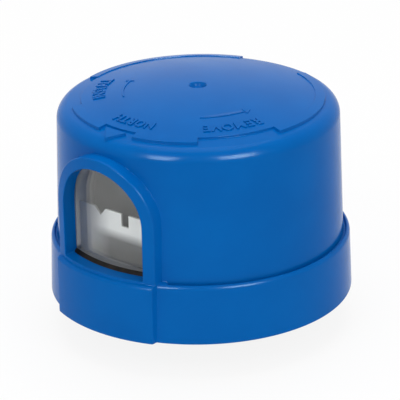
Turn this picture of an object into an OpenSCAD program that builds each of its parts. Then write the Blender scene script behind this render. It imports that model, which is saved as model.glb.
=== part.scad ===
// Twist-lock photocell switch for outdoor lighting.
// The origin is the centre of the gasket's sealing face, +Z points up through the
// cover, and the window looks along -Y. All sizes are in millimetres, and an angle
// from the window is positive towards +X.

/* [Cover] */
// Outside diameter of the skirt at its rim
skirt_d = 80; // [76:0.5:90]
// Height of the skirt's shoulder above the rim
skirt_h = 16.2; // [15.4:0.1:18]
// Inward taper of the skirt on the radius, from rim to shoulder
skirt_taper = 0.5; // [0.2:0.1:1]
// Step in from the skirt to the cap, on the radius
ledge_w = 1.75; // [1.2:0.05:3]
// Rounding of the skirt's shoulder
shoulder_r = 1.6; // [0.4:0.1:2.5]
// Inward taper of the cap on the radius, from shoulder to top edge
cap_taper = 0.9; // [0.2:0.1:1.4]
// Height of the cover from its rim to the crown of the raised disc
cover_h = 55.4; // [52:0.2:66]
// Fall of the domed top from its centre out to the finger tabs' edge
dome_fall = 3.4; // [2:0.1:5]
// Rounding of the top edge
top_edge_r = 3.8; // [2.8:0.1:5]
// Thickness of the moulded wall
wall = 2.2; // [1.8:0.1:2.6]
// How far the rim hangs below the sealing face
rim_drop = 2; // [1:0.1:3]

/* [Top markings] */
// Diameter of the raised disc
disc_d = 60.8; // [52:0.2:63]
// Height of the raised disc above the dome
disc_step = 0.5; // [0.3:0.1:1]
// Outside diameter of the finger tabs round the disc
tab_d = 66; // [64:0.2:67]
// Height of the finger tabs above the disc
tab_step = 0.25; // [0.1:0.05:0.6]
// Width of the north pointer at its base
pointer_w = 6.8; // [4:0.1:9]
// Length of the north pointer
pointer_l = 3.9; // [2:0.1:4.4]
// Diameter of the dimple at the crown
dimple_d = 4.7; // [3:0.1:7]
// Depth of the dimple at the crown
dimple_depth = 0.7; // [0.3:0.1:1.2]

/* [Window] */
// Width of the arched window opening
window_w = 26.6; // [22:0.2:29]
// Height of the window sill above the rim
window_sill = 16.6; // [16.4:0.1:19]
// Drop from the crown to the head of the window opening
window_head_drop = 11.3; // [9.8:0.1:14]
// Width of the arched frame round the opening
frame_w = 3; // [2.4:0.1:3.4]
// How far the frame stands out from the cap at the shoulder
frame_out = 2.45; // [1.8:0.05:3.5]
// Height of the bare panel below the window
panel_h = 15.8; // [12:0.1:16.2]
// How far the panel stands out from the skirt's rim
panel_out = 1.4; // [0.8:0.1:2.5]
// Depth from the frame's face to the lens
lens_inset = 4; // [3:0.1:4.2]
// Thickness of the lens
lens_t = 1.6; // [1:0.1:2]
// Overlap of the lens behind the frame
lens_lap = 1.2; // [0.8:0.1:1.6]
// Width and height of the sealant bead along the lens's foot
seal_w = 0.9; // [0.5:0.1:1.5]

/* [Light box] */
// Thickness of the light box's walls
box_wall = 1.2; // [1:0.1:1.6]
// Depth of the light box behind the lens
box_depth = 10.5; // [9.5:0.1:12]
// Width of the shutter plate
shutter_w = 27; // [22:0.2:27.2]
// Height of the shutter plate above the light box's floor
shutter_h = 13.5; // [10:0.1:16]
// Thickness of the shutter plate's sheet
shutter_t = 0.5; // [0.3:0.05:0.8]
// Gap from the shutter plate to the light box's back wall
shutter_gap = 5.4; // [4.4:0.1:6]
// Diameter of the light sensor
sensor_d = 7; // [5:0.1:8]
// Thickness of the light sensor
sensor_t = 2.2; // [1.8:0.1:3]

/* [Base] */
// Thickness of the base plate
base_t = 3; // [2.4:0.1:4]
// Thickness of the sealing gasket
gasket_t = 3; // [2:0.1:3.6]
// Width of the gasket ring
gasket_w = 7; // [5:0.1:9]
// Height of the stand-offs that carry the circuit board
standoff_h = 5.4; // [5:0.1:5.8]
// Number of ribs that seat the base inside the skirt
seat_ribs = 8; // [4:1:12]

/* [Blades] */
// Radius of the circle on which the contact blades lie
blade_circle_r = 16.7; // [15.5:0.1:18]
// Thickness of a blade
blade_t = 1.5; // [1.2:0.1:2]
// Reach of the blades below the base plate
blade_reach = 14.5; // [12.5:0.1:16]
// Width of the line and load blades
blade_w = 11; // [9:0.1:13]
// Width of the neutral blade
neutral_w = 14; // [12:0.1:16]
// Depth of the locking notch in a blade's edge
notch_depth = 2.8; // [2:0.1:3.6]
// Height of the locking notch
notch_h = 4.6; // [3:0.1:6]

/* [Circuit board] */
// Thickness of the circuit board
board_t = 1.6; // [1:0.1:2]
// Gap between the circuit board's edge and the cap's wall
board_gap = 1.8; // [1.2:0.1:2.4]
// Length of the relay
relay_l = 19; // [15:0.1:20]
// Width of the relay
relay_w = 15.4; // [12:0.1:17]
// Height of the relay
relay_h = 15.5; // [10:0.1:20]
// Length of the film capacitor
film_l = 18; // [13:0.1:20]
// Width of the film capacitor
film_w = 7; // [5:0.1:8]
// Height of the film capacitor
film_h = 13; // [8:0.1:18]
// Diameter of the smoothing capacitor
can_d = 10; // [6.3:0.1:11]
// Height of the smoothing capacitor
can_h = 13; // [8:0.5:20]
// Diameter of the surge varistor
varistor_d = 12; // [9:0.1:13]
// Thickness of the surge varistor
varistor_t = 4; // [3:0.1:5]
// Diameter of the component leads
lead_d = 0.8; // [0.5:0.05:1]

/* [Hidden] */
$fn = 96;

// Clearances
slip_gap = 0.2;     // between pieces that slide together
snug_gap = 0.05;    // between pieces that locate each other
overcut = 1;        // how far a cutter runs past what it cuts

// Heights above the sealing face
z_rim = -rim_drop;
z_base = gasket_t;
z_base_top = z_base + base_t;
z_board = z_base_top + standoff_h;
z_board_top = z_board + board_t;
z_shoulder = z_rim + skirt_h;
z_panel = z_rim + panel_h;
z_sill = z_rim + window_sill;
z_crown = z_rim + cover_h;
z_tip = z_base - blade_reach;

// Radii of the cover's outside
skirt_r = skirt_d / 2;
shoulder_edge_r = skirt_r - skirt_taper;
shoulder_round = min(shoulder_r, ledge_w);
cap_r = shoulder_edge_r - ledge_w;
cap_top_r = cap_r - cap_taper;
frame_r = cap_r + frame_out;
panel_r = skirt_r + panel_out;
panel_round = min(1, panel_r - frame_r);

// The domed top is part of a sphere, and the disc, tabs and pointer are raised from it
disc_r = disc_d / 2;
tab_r = tab_d / 2;
dome_r = (tab_r * tab_r + dome_fall * dome_fall) / (2 * dome_fall);
z_dome_centre = z_crown - disc_step - dome_r;
edge_centre_r = cap_top_r - top_edge_r;
z_edge_centre = z_dome_centre + sqrt(pow(dome_r - top_edge_r, 2) - edge_centre_r * edge_centre_r);
pointer_inset = 1.2;
pointer_base_r = tab_r - pointer_inset;
tab_lift = disc_step + tab_step;

// First and last angle of each finger tab from the window
finger_tabs = [[-38.5, -8.5], [10.5, 40.5], [79, 161], [199, 281]];

// The inside of the cover
inner_cap_r = cap_r - wall;
z_inner_shoulder = z_shoulder - wall;
function inner_skirt_r(z) = skirt_r - wall - skirt_taper * (z - z_rim) / skirt_h;
rib_depth = 1.6;
rib_w = 1.6;
rib_root = 0.5;
bead_r = 0.45;
bead_angles = [45, 135, 225, 315];
bead_span = 24;

// The arch of the window and the lens behind it
arch_r = window_w / 2;
frame_arch_r = arch_r + frame_w;
z_arch = z_crown - window_head_drop - arch_r;
lens_r = frame_r - lens_inset;
lens_back_r = lens_r - lens_t;
lens_arch_r = arch_r + lens_lap;
lens_foot = z_sill - lens_lap;

// The light box, the shutter plate and the light sensor
box_margin = 0.5;
box_arch_r = arch_r + box_margin;
box_front_r = lens_back_r - slip_gap;
y_box_back = box_depth - lens_back_r;
y_box_wall = y_box_back - box_wall;
z_box_floor = z_board_top + box_wall;
peg_d = 2.4;
peg_below = 0.6;
peg_x = 10.5;
peg_inset = 2.2;
y_peg = y_box_wall - peg_inset;
y_shutter = y_box_wall - shutter_gap;
shutter_foot_w = 3;
shutter_foot_x = 6;
shutter_foot_below = 1;
shutter_foot_l = box_wall + board_t + shutter_foot_below;
v_notch_x = -6.6;
v_notch_w = 3.6;
v_notch_depth = 2.1;
key_slot_x = 1.7;
key_slot_w = 2.4;
key_slot_depth = 3.4;
sensor_lift = 0.6;
sensor_arm = 1.6;
z_sensor = z_box_floor + sensor_d / 2 + sensor_lift;
sensor_flat = 0.86 * sensor_d;
y_sensor_back = y_box_wall + sensor_t;
y_sensor_lead = y_sensor_back + sensor_arm;
sensor_pitch = sensor_d / 2;

// The base plate and what it carries
base_r = inner_skirt_r(z_base_top) - slip_gap;
gasket_inset = 2.6;
gasket_r = base_r - gasket_inset;
gasket_hole_r = gasket_r - gasket_w;
ring_w = 1.2;
ring_h = 1.5;
collar_h = 1;
collar_w = 1.4;
standoff_r = 26;
standoff_d = 6;
standoff_angles = [75, 180, 285];
screw_d = 2.6;
screw_end_gap = 1;
screw_l = board_t + standoff_h - screw_end_gap;
screw_head_d = 5;
screw_head_h = 1.8;
screw_slot_w = 0.7;

// The blades
tail_w = 3;
tail_above_board = 1.4;
tip_chamfer = 1.4;
shoulder_drop = 1.6;
z_blade_shoulder = z_base - collar_h;
z_notch_top = z_blade_shoulder - shoulder_drop;
line_angle = -60;
load_angle = 60;
neutral_angle = 180;
stem_inset = 2;
function stem_w(w) = w - notch_depth - stem_inset;

// The components, set out from the relay and the blades
board_r = inner_cap_r - board_gap;
lead_below = 1.2;
arm_d = 0.9 * lead_d;
lead_inset = 1.5;
case_bevel = 0.7;
film_pitch = film_l - 2 * lead_inset;
can_pitch = can_d / 2;
can_waist = 0.4;
can_waist_h = 0.6;
can_foot_h = 1.4;
varistor_pitch = 7.5;
varistor_bevel = 0.8;
varistor_lift = 1;
diode_count = 4;
diode_d = 2.7;
diode_l = 5.2;
diode_pitch = 3.6;
diode_span = 10;
dropper_d = 4.5;
dropper_l = 12;
dropper_span = 18;
bias_d = 2.3;
bias_l = 6.3;
bias_pitch = 3.4;
bias_span = 9;
zener_d = 1.9;
zener_l = 4;
zener_span = 7;
blade_space = 6.5;
tail_space = 2.2;
can_space = 0.8;
varistor_space = 2.4;
dropper_space = 2.35;
row_space = 4.4;
side_space = 4;
zener_space = 7.6;
y_side_row = 7;
relay_at = [-2, 2];
relay_front = relay_at[1] - relay_w / 2;
relay_right = relay_at[0] + relay_l / 2;
relay_left = relay_at[0] - relay_l / 2;
film_at = [relay_right + blade_space + film_w / 2, y_side_row];
film_right = film_at[0] + film_w / 2;
can_at = [can_d / 2 + tail_space, blade_circle_r + can_d / 2 + can_space];
varistor_at = [-varistor_d / 2 - tail_space, blade_circle_r + varistor_t / 2 + varistor_space];
diodes_at = [relay_left - side_space - diode_span / 2, -1];
dropper_at = [film_right + dropper_space + dropper_d / 2, y_side_row];
transistor_at = [-1, relay_front - row_space];
bias_at = [-9, relay_front - 2 * row_space];
zener_at = [5.5, relay_front - zener_space];
pin_inset = 2;
relay_pin_x = relay_l / 2 - pin_inset;
relay_pin_y = relay_w / 2 - pin_inset;
relay_pins = [
    for (x = [-relay_pin_x, relay_pin_x], y = [-relay_pin_y, relay_pin_y]) [x, y],
    [-relay_pin_x, 0]
];
transistor_d = 4.8;
transistor_h = 4.8;
transistor_lift = 1.5;
transistor_pitch = 1.6;

// Every hole in the board that takes a component's lead
lead_points = concat(
    [for (p = relay_pins) relay_at + p],
    [for (s = [-1, 1]) film_at + [0, s * film_pitch / 2]],
    [for (s = [-1, 1]) can_at + [s * can_pitch / 2, 0]],
    [for (s = [-1, 1]) varistor_at + [s * varistor_pitch / 2, 0]],
    [for (i = [0 : diode_count - 1], s = [-1, 1]) diodes_at + [s * diode_span / 2, i * diode_pitch]],
    [for (s = [-1, 1]) dropper_at + [0, s * dropper_span / 2]],
    [for (i = [0, 1], s = [-1, 1]) bias_at + [s * bias_span / 2, -i * bias_pitch]],
    [for (s = [-1, 1]) zener_at + [s * zener_span / 2, 0]],
    [for (s = [-1, 0, 1]) transistor_at + [s * transistor_pitch, 0]],
    [for (s = [-1, 1]) [s * sensor_pitch / 2, y_sensor_lead]]
);

// Turns children from the window to an angle from it
module at_angle(a) {
    rotate([0, 0, a]) children();
}

// Sweeps a half section round the axis from angle a0 to a1 from the window
module swept(a0, a1) {
    rotate([0, 0, a0 - 90]) rotate_extrude(angle = a1 - a0) children();
}

// Extrudes an outline drawn in x and z from y_front back to y_rear
module along_y(y_front, y_rear) {
    translate([0, y_rear, 0]) rotate([90, 0, 0]) linear_extrude(y_rear - y_front) children();
}

// A ring round the axis
module ring(r_out, r_in, z, h) {
    translate([0, 0, z]) difference() {
        cylinder(r = r_out, h = h);
        translate([0, 0, -overcut]) cylinder(r = r_in, h = h + 2 * overcut);
    }
}

// Arched outline of the window, in x and z, down to a straight foot
module arch(r, z_foot) {
    translate([0, z_arch]) intersection() {
        circle(r = r);
        translate([-r, 0]) square([2 * r, r]);
    }
    translate([-r, z_foot]) square([2 * r, z_arch - z_foot]);
}

// Quarter of a disc that rounds an outer corner, with its centre at [x, z]
module corner_round(x, z, r) {
    translate([x, z]) intersection() {
        circle(r = r);
        square(r);
    }
}

// Half section under the dome, raised by a lift, from r_in out to r_out
module dome_section(lift, r_in, r_out) {
    intersection() {
        translate([0, z_dome_centre]) circle(r = dome_r + lift, $fn = 360);
        translate([r_in, z_edge_centre]) square([r_out - r_in, z_crown]);
    }
}

// Half section of the cap, set in from the outside by an inset
module cap_section(inset, z_foot) {
    sphere_r = dome_r - inset;
    edge_r = top_edge_r - inset;
    tangent_r = edge_centre_r * sphere_r / (sphere_r - edge_r);
    polygon([
        [0, z_foot], [cap_r - inset, z_foot], [cap_top_r - inset, z_edge_centre], [0, z_edge_centre]
    ]);
    intersection() {
        translate([edge_centre_r, z_edge_centre]) circle(r = edge_r);
        translate([tangent_r, z_edge_centre]) square([top_edge_r, edge_r]);
    }
    intersection() {
        translate([0, z_dome_centre]) circle(r = sphere_r, $fn = 360);
        translate([0, z_edge_centre]) square([tangent_r, z_crown]);
    }
}

// Half section of the skirt with its rounded shoulder
module skirt_section() {
    round_r = shoulder_edge_r - shoulder_round;
    z_round = z_shoulder - shoulder_round;
    polygon([[0, z_rim], [skirt_r, z_rim], [shoulder_edge_r, z_round], [0, z_round]]);
    translate([0, z_round]) square([round_r, shoulder_round]);
    corner_round(round_r, z_round, shoulder_round);
}

// Half section of the bare panel below the window
module panel_section() {
    round_r = panel_r - panel_round;
    z_round = z_panel - panel_round;
    translate([0, z_rim]) square([panel_r, z_round - z_rim]);
    translate([0, z_round]) square([round_r, panel_round]);
    corner_round(round_r, z_round, panel_round);
}

// Panel and arched window frame, standing out from the skirt and the cap
module window_frame() {
    intersection() {
        along_y(-panel_r - overcut, -inner_cap_r / 2) arch(frame_arch_r, z_rim - overcut);
        union() {
            rotate_extrude() panel_section();
            translate([0, 0, z_panel - overcut]) cylinder(r = frame_r, h = z_crown - z_panel);
        }
    }
}

// Raised disc, finger tabs and north pointer on the domed top
module top_markings() {
    rotate_extrude() dome_section(disc_step, 0, disc_r);
    for (tab = finger_tabs) {
        swept(tab[0], tab[1]) dome_section(tab_lift, disc_r - overcut, tab_r);
    }
    intersection() {
        translate([0, 0, z_edge_centre]) linear_extrude(z_crown) polygon([
            [-pointer_w / 2, -pointer_base_r], [0, -pointer_base_r - pointer_l],
            [pointer_w / 2, -pointer_base_r]
        ]);
        rotate_extrude() dome_section(tab_lift, 0, cap_r);
    }
}

module cover_cavity() {
    rotate_extrude() cap_section(wall, z_inner_shoulder - overcut);
    rotate_extrude() polygon([
        [0, z_rim - overcut], [inner_skirt_r(z_rim - overcut), z_rim - overcut],
        [inner_skirt_r(z_inner_shoulder), z_inner_shoulder], [0, z_inner_shoulder]
    ]);
}

module cover() {
    dimple_r = (dimple_d * dimple_d / 4 + dimple_depth * dimple_depth) / (2 * dimple_depth);
    rib_r = inner_skirt_r(z_base_top);
    color("#0060ad") union() {
        difference() {
            union() {
                rotate_extrude() skirt_section();
                rotate_extrude() cap_section(0, z_shoulder - shoulder_round);
                window_frame();
                top_markings();
            }
            cover_cavity();
            along_y(-panel_r - overcut, -inner_cap_r / 2) arch(arch_r, z_sill);
            intersection() {
                along_y(-panel_r, -inner_cap_r / 2) arch(lens_arch_r + snug_gap, lens_foot);
                cylinder(r = lens_r + snug_gap, h = z_crown);
            }
            translate([0, 0, z_crown - dimple_depth + dimple_r]) sphere(r = dimple_r);
        }
        for (i = [0 : seat_ribs - 1]) {
            at_angle((i + 0.5) * 360 / seat_ribs)
                translate([-rib_w / 2, -rib_r - rib_root, z_base_top])
                    cube([rib_w, rib_depth + rib_root, z_inner_shoulder + rib_root - z_base_top]);
        }
        for (a = bead_angles) {
            swept(a - bead_span / 2, a + bead_span / 2)
                translate([inner_skirt_r(z_base - bead_r), z_base - bead_r - snug_gap]) circle(r = bead_r);
        }
    }
}

module window_lens() {
    color("#d8dcdc", 0.35) intersection() {
        ring(lens_r, lens_back_r, z_rim, cover_h);
        along_y(-panel_r, -inner_cap_r / 2) arch(lens_arch_r, lens_foot);
    }
}

// Bead of sealant in the corner between the lens and the window sill
module lens_seal() {
    color("#332e2a") intersection() {
        rotate_extrude() polygon([
            [lens_r, z_sill], [lens_r + seal_w, z_sill], [lens_r, z_sill + seal_w]
        ]);
        along_y(-panel_r, 0) translate([-arch_r, z_sill]) square([2 * arch_r, seal_w]);
    }
}

// Feet of the shutter plate as bars through the box floor and the board
module shutter_feet(gap) {
    for (s = [-1, 1]) {
        x_foot = s * shutter_foot_x - shutter_foot_w / 2;
        translate([x_foot - gap, y_shutter - gap, z_box_floor - shutter_foot_l])
            cube([shutter_foot_w + 2 * gap, shutter_t + 2 * gap, shutter_foot_l + gap]);
    }
}

module light_box() {
    color("#63635f") difference() {
        union() {
            intersection() {
                along_y(-panel_r, y_box_back) arch(box_arch_r + box_wall, z_board_top);
                translate([0, 0, z_board_top]) cylinder(r = box_front_r, h = z_crown);
            }
            for (s = [-1, 1]) {
                translate([s * peg_x, y_peg, z_board - peg_below])
                    cylinder(d = peg_d, h = board_t + peg_below + box_wall);
            }
        }
        along_y(-panel_r, y_box_wall) arch(box_arch_r, z_box_floor);
        translate([0, y_box_wall, z_sensor]) rotate([90, 0, 0])
            cylinder(d = sensor_d + 2 * snug_gap, h = 4 * box_wall, center = true);
        shutter_feet(snug_gap);
    }
}

module shutter_plate() {
    z_top = z_box_floor + shutter_h;
    half_w = shutter_w / 2;
    color("#c9cbcc") union() {
        along_y(y_shutter, y_shutter + shutter_t) polygon([
            [-half_w, z_box_floor], [half_w, z_box_floor], [half_w, z_top],
            [key_slot_x + key_slot_w / 2, z_top],
            [key_slot_x + key_slot_w / 2, z_top - key_slot_depth],
            [key_slot_x - key_slot_w / 2, z_top - key_slot_depth],
            [key_slot_x - key_slot_w / 2, z_top],
            [v_notch_x + v_notch_w / 2, z_top], [v_notch_x, z_top - v_notch_depth],
            [v_notch_x - v_notch_w / 2, z_top], [-half_w, z_top]
        ]);
        shutter_feet(0);
    }
}

module photocell() {
    color("#c8a27c") intersection() {
        translate([0, y_sensor_back, z_sensor]) rotate([90, 0, 0]) cylinder(d = sensor_d, h = sensor_t);
        translate([-sensor_d, y_box_wall, z_sensor - sensor_flat / 2])
            cube([2 * sensor_d, sensor_t, sensor_flat]);
    }
}

// A straight lead from below the board up to a height
module lead(x, y, z_top) {
    z_end = z_board - lead_below;
    translate([x, y, z_end]) cylinder(d = lead_d, h = z_top - z_end);
}

module photocell_leads() {
    color("#b9bbbd") for (s = [-1, 1]) {
        lead(s * sensor_pitch / 2, y_sensor_lead, z_sensor + lead_d / 2);
        translate([s * sensor_pitch / 2, y_sensor_lead, z_sensor]) rotate([90, 0, 0])
            cylinder(d = arm_d, h = y_sensor_lead - y_sensor_back);
    }
}

// Arc of a circle as an angle, for a length along a radius
function arc_angle(length, r) = length / r * 180 / PI;

// Section of a blade where it passes through the base or the board
module blade_passage(w, z, h, gap) {
    intersection() {
        ring(blade_circle_r + blade_t / 2 + gap, blade_circle_r - blade_t / 2 - gap, z, h);
        translate([-w / 2 - gap, -2 * blade_circle_r, z]) cube([w + 2 * gap, 2 * blade_circle_r, h]);
    }
}

// Raised collar on the underside round a blade
module blade_collar(w) {
    span = arc_angle(w / 2 + collar_w, blade_circle_r);
    half_t = blade_t / 2 + collar_w;
    swept(-span, span) translate([blade_circle_r - half_t, z_base - collar_h])
        square([2 * half_t, collar_h + base_t / 2]);
}

module base_plate() {
    blades = [[line_angle, blade_w], [load_angle, blade_w], [neutral_angle, neutral_w]];
    ring_r = gasket_hole_r - slip_gap;
    z_pilot = z_base_top - base_t / 3;
    color("#3b3d40") difference() {
        union() {
            translate([0, 0, z_base]) cylinder(r = base_r, h = base_t);
            ring(ring_r, ring_r - ring_w, z_base - ring_h, ring_h + base_t / 2);
            for (b = blades) at_angle(b[0]) blade_collar(b[1]);
            for (a = standoff_angles) {
                at_angle(a) translate([0, -standoff_r, z_base_top - base_t / 2])
                    cylinder(d = standoff_d, h = standoff_h + base_t / 2);
            }
        }
        for (b = blades) {
            at_angle(b[0])
                blade_passage(stem_w(b[1]), z_base - 2 * collar_h, base_t + 3 * collar_h, snug_gap);
        }
        for (a = standoff_angles) {
            at_angle(a) translate([0, -standoff_r, z_pilot])
                cylinder(d = screw_d + 2 * snug_gap, h = standoff_h + base_t);
        }
    }
}

module gasket() {
    color("#2b2b2d") ring(gasket_r, gasket_hole_r, 0, gasket_t);
}

// Twist-lock blade of a width, with its locking notch, stem and solder tail
module blade(w, a) {
    half = w / 2;
    stem = stem_w(w) / 2;
    z_notch = z_notch_top - notch_h;
    z_tail = z_board_top + tail_above_board;
    at_angle(a) intersection() {
        ring(blade_circle_r + blade_t / 2, blade_circle_r - blade_t / 2, z_tip, z_tail - z_tip);
        along_y(-2 * blade_circle_r, 0) polygon([
            [-half, z_tip + tip_chamfer], [tip_chamfer - half, z_tip], [half - tip_chamfer, z_tip],
            [half, z_tip + tip_chamfer], [half, z_notch], [half - notch_depth, z_notch],
            [half - notch_depth, z_notch_top], [half, z_notch_top], [half, z_blade_shoulder],
            [stem, z_blade_shoulder], [stem, z_board], [tail_w / 2, z_board], [tail_w / 2, z_tail],
            [-tail_w / 2, z_tail], [-tail_w / 2, z_board], [-stem, z_board],
            [-stem, z_blade_shoulder], [-half, z_blade_shoulder]
        ]);
    }
}

module line_blade() {
    color("#c9a24a") blade(blade_w, line_angle);
}

module load_blade() {
    color("#c9a24a") blade(blade_w, load_angle);
}

module neutral_blade() {
    color("#c9a24a") blade(neutral_w, neutral_angle);
}

module circuit_board() {
    blades = [[line_angle, tail_w], [load_angle, tail_w], [neutral_angle, tail_w]];
    color("#2f6b3c") difference() {
        translate([0, 0, z_board]) cylinder(r = board_r, h = board_t);
        for (b = blades) {
            at_angle(b[0]) blade_passage(b[1], z_board - overcut, board_t + 2 * overcut, snug_gap);
        }
        for (a = standoff_angles) {
            at_angle(a) translate([0, -standoff_r, z_board - overcut])
                cylinder(d = screw_d + 2 * slip_gap, h = board_t + 2 * overcut);
        }
        for (p = lead_points) {
            translate([p[0], p[1], z_board - overcut])
                cylinder(d = lead_d + 2 * snug_gap, h = board_t + 2 * overcut);
        }
        for (s = [-1, 1]) {
            translate([s * peg_x, y_peg, z_board - overcut])
                cylinder(d = peg_d + 2 * snug_gap, h = board_t + 2 * overcut);
        }
        shutter_feet(snug_gap);
    }
}

module board_screws() {
    color("#b4b6b8") for (a = standoff_angles) {
        at_angle(a) translate([0, -standoff_r, z_board_top]) difference() {
            union() {
                cylinder(d = screw_head_d, h = screw_head_h);
                translate([0, 0, -screw_l]) cylinder(d = screw_d, h = screw_l + screw_head_h / 2);
            }
            translate([-screw_head_d, -screw_slot_w / 2, screw_head_h / 2])
                cube([2 * screw_head_d, screw_slot_w, screw_head_h]);
        }
    }
}

// Moulded case of a component, with bevelled upright edges
module case_block(l, w, h) {
    x = l / 2;
    y = w / 2;
    bevel = case_bevel;
    linear_extrude(h) polygon([
        [-x + bevel, -y], [x - bevel, -y], [x, -y + bevel], [x, y - bevel],
        [x - bevel, y], [-x + bevel, y], [-x, y - bevel], [-x, -y + bevel]
    ]);
}

module relay() {
    color("#24262a") union() {
        translate([relay_at[0], relay_at[1], z_board_top]) case_block(relay_l, relay_w, relay_h);
        for (p = relay_pins) lead(relay_at[0] + p[0], relay_at[1] + p[1], z_board_top + overcut);
    }
}

module film_capacitor() {
    color("#a8402f") union() {
        translate([film_at[0], film_at[1], z_board_top]) case_block(film_w, film_l, film_h);
        for (s = [-1, 1]) lead(film_at[0], film_at[1] + s * film_pitch / 2, z_board_top + overcut);
    }
}

// Aluminium can with a crimped waist, standing on the board
module smoothing_capacitor() {
    r = can_d / 2;
    r_waist = r - can_waist;
    z_waist = can_foot_h + can_waist;
    z_body = z_waist + can_waist_h + can_waist;
    color("#2c3c58") union() {
        translate([can_at[0], can_at[1], z_board_top]) rotate_extrude() polygon([
            [0, 0], [r_waist, 0], [r, can_waist], [r, can_foot_h],
            [r_waist, z_waist], [r_waist, z_waist + can_waist_h],
            [r, z_body], [r, can_h - can_waist], [r_waist, can_h], [0, can_h]
        ]);
        for (s = [-1, 1]) lead(can_at[0] + s * can_pitch / 2, can_at[1], z_board_top + overcut);
    }
}

// Coated disc on edge, just above the board
module surge_varistor() {
    r = varistor_d / 2;
    r_face = r - varistor_bevel;
    z_centre = z_board_top + r + varistor_lift;
    color("#2f5f9a") union() {
        translate([varistor_at[0], varistor_at[1] + varistor_t / 2, z_centre]) rotate([90, 0, 0])
            rotate_extrude() polygon([
                [0, 0], [r_face, 0], [r, varistor_bevel], [r, varistor_t - varistor_bevel],
                [r_face, varistor_t], [0, varistor_t]
            ]);
        for (s = [-1, 1]) lead(varistor_at[0] + s * varistor_pitch / 2, varistor_at[1], z_centre);
    }
}

// Lying component with an axial lead at each end, along x and centred on [0, 0]
module axial(body_d, body_l, span) {
    z_axis = z_board_top + body_d / 2;
    translate([0, 0, z_axis]) rotate([0, 90, 0]) cylinder(d = body_d, h = body_l, center = true);
    translate([0, 0, z_axis]) rotate([0, 90, 0]) cylinder(d = arm_d, h = span, center = true);
    for (s = [-1, 1]) lead(s * span / 2, 0, z_axis + lead_d / 2);
}

module rectifier_diodes() {
    color("#1d1d1f") for (i = [0 : diode_count - 1]) {
        translate([diodes_at[0], diodes_at[1] + i * diode_pitch, 0])
            axial(diode_d, diode_l, diode_span);
    }
}

module dropper_resistor() {
    color("#9aa7a0") translate([dropper_at[0], dropper_at[1], 0]) rotate([0, 0, 90])
        axial(dropper_d, dropper_l, dropper_span);
}

module bias_resistors() {
    color("#c9b48a") for (i = [0, 1]) {
        translate([bias_at[0], bias_at[1] - i * bias_pitch, 0]) axial(bias_d, bias_l, bias_span);
    }
}

module zener_diode() {
    color("#b5532a") translate([zener_at[0], zener_at[1], 0]) axial(zener_d, zener_l, zener_span);
}

module switch_transistor() {
    flat = 0.3 * transistor_d;
    z_foot = z_board_top + transistor_lift;
    color("#1d1d1f") union() {
        translate([transistor_at[0], transistor_at[1], z_foot]) intersection() {
            cylinder(d = transistor_d, h = transistor_h);
            translate([-transistor_d, -flat, 0]) cube([2 * transistor_d, 2 * transistor_d, transistor_h]);
        }
        for (s = [-1, 0, 1]) {
            lead(transistor_at[0] + s * transistor_pitch, transistor_at[1], z_foot + overcut);
        }
    }
}

cover();
window_lens();
lens_seal();
light_box();
shutter_plate();
photocell();
photocell_leads();
base_plate();
gasket();
line_blade();
load_blade();
neutral_blade();
circuit_board();
board_screws();
relay();
film_capacitor();
smoothing_capacitor();
surge_varistor();
rectifier_diodes();
dropper_resistor();
bias_resistors();
zener_diode();
switch_transistor();
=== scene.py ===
# Twist-lock photocell switch: the moulded cover with its rounded edges, the raised
# marks on its top, and the finish of every piece. Sizes are in millimetres, and an
# angle from the window is in degrees, positive towards +X.
import math

import bpy
import numpy as np
from mathutils import Matrix, Vector, geometry, kdtree


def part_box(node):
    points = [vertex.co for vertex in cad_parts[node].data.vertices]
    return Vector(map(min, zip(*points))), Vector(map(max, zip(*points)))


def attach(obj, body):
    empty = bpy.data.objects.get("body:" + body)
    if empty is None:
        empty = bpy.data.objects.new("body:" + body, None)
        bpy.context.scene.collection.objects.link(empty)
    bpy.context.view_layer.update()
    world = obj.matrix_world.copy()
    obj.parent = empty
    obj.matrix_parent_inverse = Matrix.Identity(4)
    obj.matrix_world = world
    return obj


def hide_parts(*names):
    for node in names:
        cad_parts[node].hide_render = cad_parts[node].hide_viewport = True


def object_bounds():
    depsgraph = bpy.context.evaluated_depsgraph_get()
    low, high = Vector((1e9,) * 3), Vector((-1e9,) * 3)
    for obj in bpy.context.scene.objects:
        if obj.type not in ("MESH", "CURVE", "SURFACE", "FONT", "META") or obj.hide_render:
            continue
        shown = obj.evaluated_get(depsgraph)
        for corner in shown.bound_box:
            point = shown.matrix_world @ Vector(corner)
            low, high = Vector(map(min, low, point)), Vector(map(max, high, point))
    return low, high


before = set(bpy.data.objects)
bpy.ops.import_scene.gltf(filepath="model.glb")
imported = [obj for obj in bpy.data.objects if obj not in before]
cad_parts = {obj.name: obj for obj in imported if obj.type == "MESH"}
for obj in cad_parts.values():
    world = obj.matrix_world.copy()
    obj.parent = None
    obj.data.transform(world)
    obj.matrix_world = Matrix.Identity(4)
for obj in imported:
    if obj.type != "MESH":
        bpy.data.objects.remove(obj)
cad_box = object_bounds()
cover_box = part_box("cover")

MM = 0.001
BODY = "root"

# Outside of the cover, whose largest sizes come from the cover part of model.glb
SKIRT_R = min(cover_box[1].x, cover_box[1].y) / MM
SKIRT_TAPER = 0.5
LEDGE_W = 1.75
SHOULDER_ROUND = 1.6
SHOULDER_TURN = 84
LEDGE_FILLET = 0.18
CAP_TAPER = 0.9
TOP_EDGE_R = 3.8
DOME_FALL = 3.4
Z_RIM = cover_box[0].z / MM
Z_SHOULDER = 14.2
Z_CROWN = 53.4
RIM_EDGE = 0.3

# Groove between the shoulder and the cap: the roundings of its lip and its bottom, the height of
# its bottom, and the angle over which it ends beside the window frame
LIP_R = 0.3
GROOVE_R = 0.35
Z_GROOVE = 13.1
GROOVE_FADE = 0.8

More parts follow.
